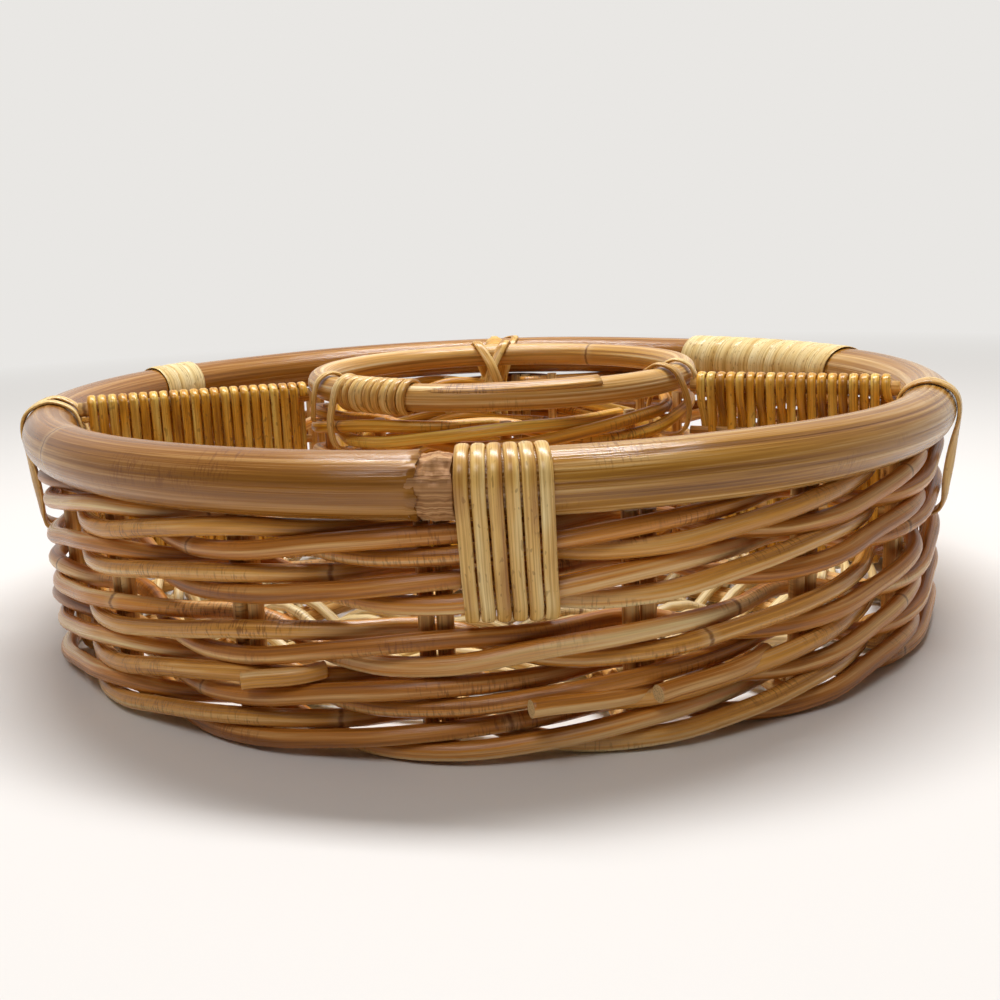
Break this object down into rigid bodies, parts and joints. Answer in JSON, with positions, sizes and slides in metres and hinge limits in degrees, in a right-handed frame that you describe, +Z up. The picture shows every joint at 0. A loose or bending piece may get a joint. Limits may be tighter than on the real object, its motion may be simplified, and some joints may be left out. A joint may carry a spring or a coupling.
{
  "type": "divided rattan serving basket",
  "caption": "Round serving basket of bent rattan with a thick rim pole, an open woven wall, a round middle compartment and laced dividers.",
  "frame": {"origin": "middle of the basket on the surface it stands on", "axes": "+Z up, -Y towards the front binding, +X to the right seen from the front"},
  "size_m": [0.3823, 0.3894, 0.1037],
  "materials": {
    "left_pole": "peeled rattan pole, pinkish tan, satin",
    "right_pole": "peeled rattan pole, olive tan with long ridges, satin",
    "ring_pole": "peeled rattan pole, satin",
    "stake_rod": "round rattan, satin",
    "wall_rod": "round rattan with its skin, honey, satin gloss",
    "inner_rod": "round rattan with its skin, satin gloss",
    "floor_wood": "sanded wood",
    "binding_cane": "split cane, pale straw, satin gloss",
    "lacing_cane": "split cane, straw, satin"
  },
  "bodies": {
    "root": {"rim_pole_left": "left_pole", "rim_pole_right": "right_pole", "inner_ring_pole": "ring_pole", "stake_01": "stake_rod", "stake_02": "stake_rod", "stake_03": "stake_rod", "stake_04": "stake_rod", "stake_05": "stake_rod", "stake_06": "stake_rod", "stake_07": "stake_rod", "stake_08": "stake_rod", "stake_09": "stake_rod", "stake_10": "stake_rod", "stake_11": "stake_rod", "stake_12": "stake_rod", "stake_13": "stake_rod", "stake_14": "stake_rod", "stake_15": "stake_rod", "stake_16": "stake_rod", "stake_17": "stake_rod", "stake_18": "stake_rod", "inner_stake_1": "stake_rod", "inner_stake_2": "stake_rod", "inner_stake_3": "stake_rod", "inner_stake_4": "stake_rod", "inner_stake_5": "stake_rod", "inner_stake_6": "stake_rod", "inner_stake_7": "stake_rod", "inner_stake_8": "stake_rod", "inner_stake_9": "stake_rod", "lower_weaver_1": "wall_rod", "lower_weaver_2": "wall_rod", "lower_weaver_3": "wall_rod", "upper_weaver_1": "wall_rod", "upper_weaver_2": "wall_rod", "upper_weaver_3": "wall_rod", "inner_weaver_1": "inner_rod", "inner_weaver_2": "inner_rod", "inner_weaver_3": "inner_rod", "floor_weaver_1": "inner_rod", "floor_weaver_2": "inner_rod", "floor_disc": "floor_wood", "left_divider_rail": "stake_rod", "left_divider_rod": "stake_rod", "left_divider_lacing": "lacing_cane", "left_rim_binding": "binding_cane", "right_divider_rail": "stake_rod", "right_divider_rod": "stake_rod", "right_divider_lacing": "lacing_cane", "right_rim_binding": "binding_cane", "back_divider_rail": "stake_rod", "back_divider_rod": "stake_rod", "back_divider_lacing": "lacing_cane", "back_rim_binding": "binding_cane", "front_binding": "binding_cane", "inner_ring_wrap": "binding_cane", "right_ring_tie": "binding_cane", "back_ring_tie": "binding_cane", "back_wrap": "binding_cane", "side_band": "binding_cane"}
  },
  "joints": []
}
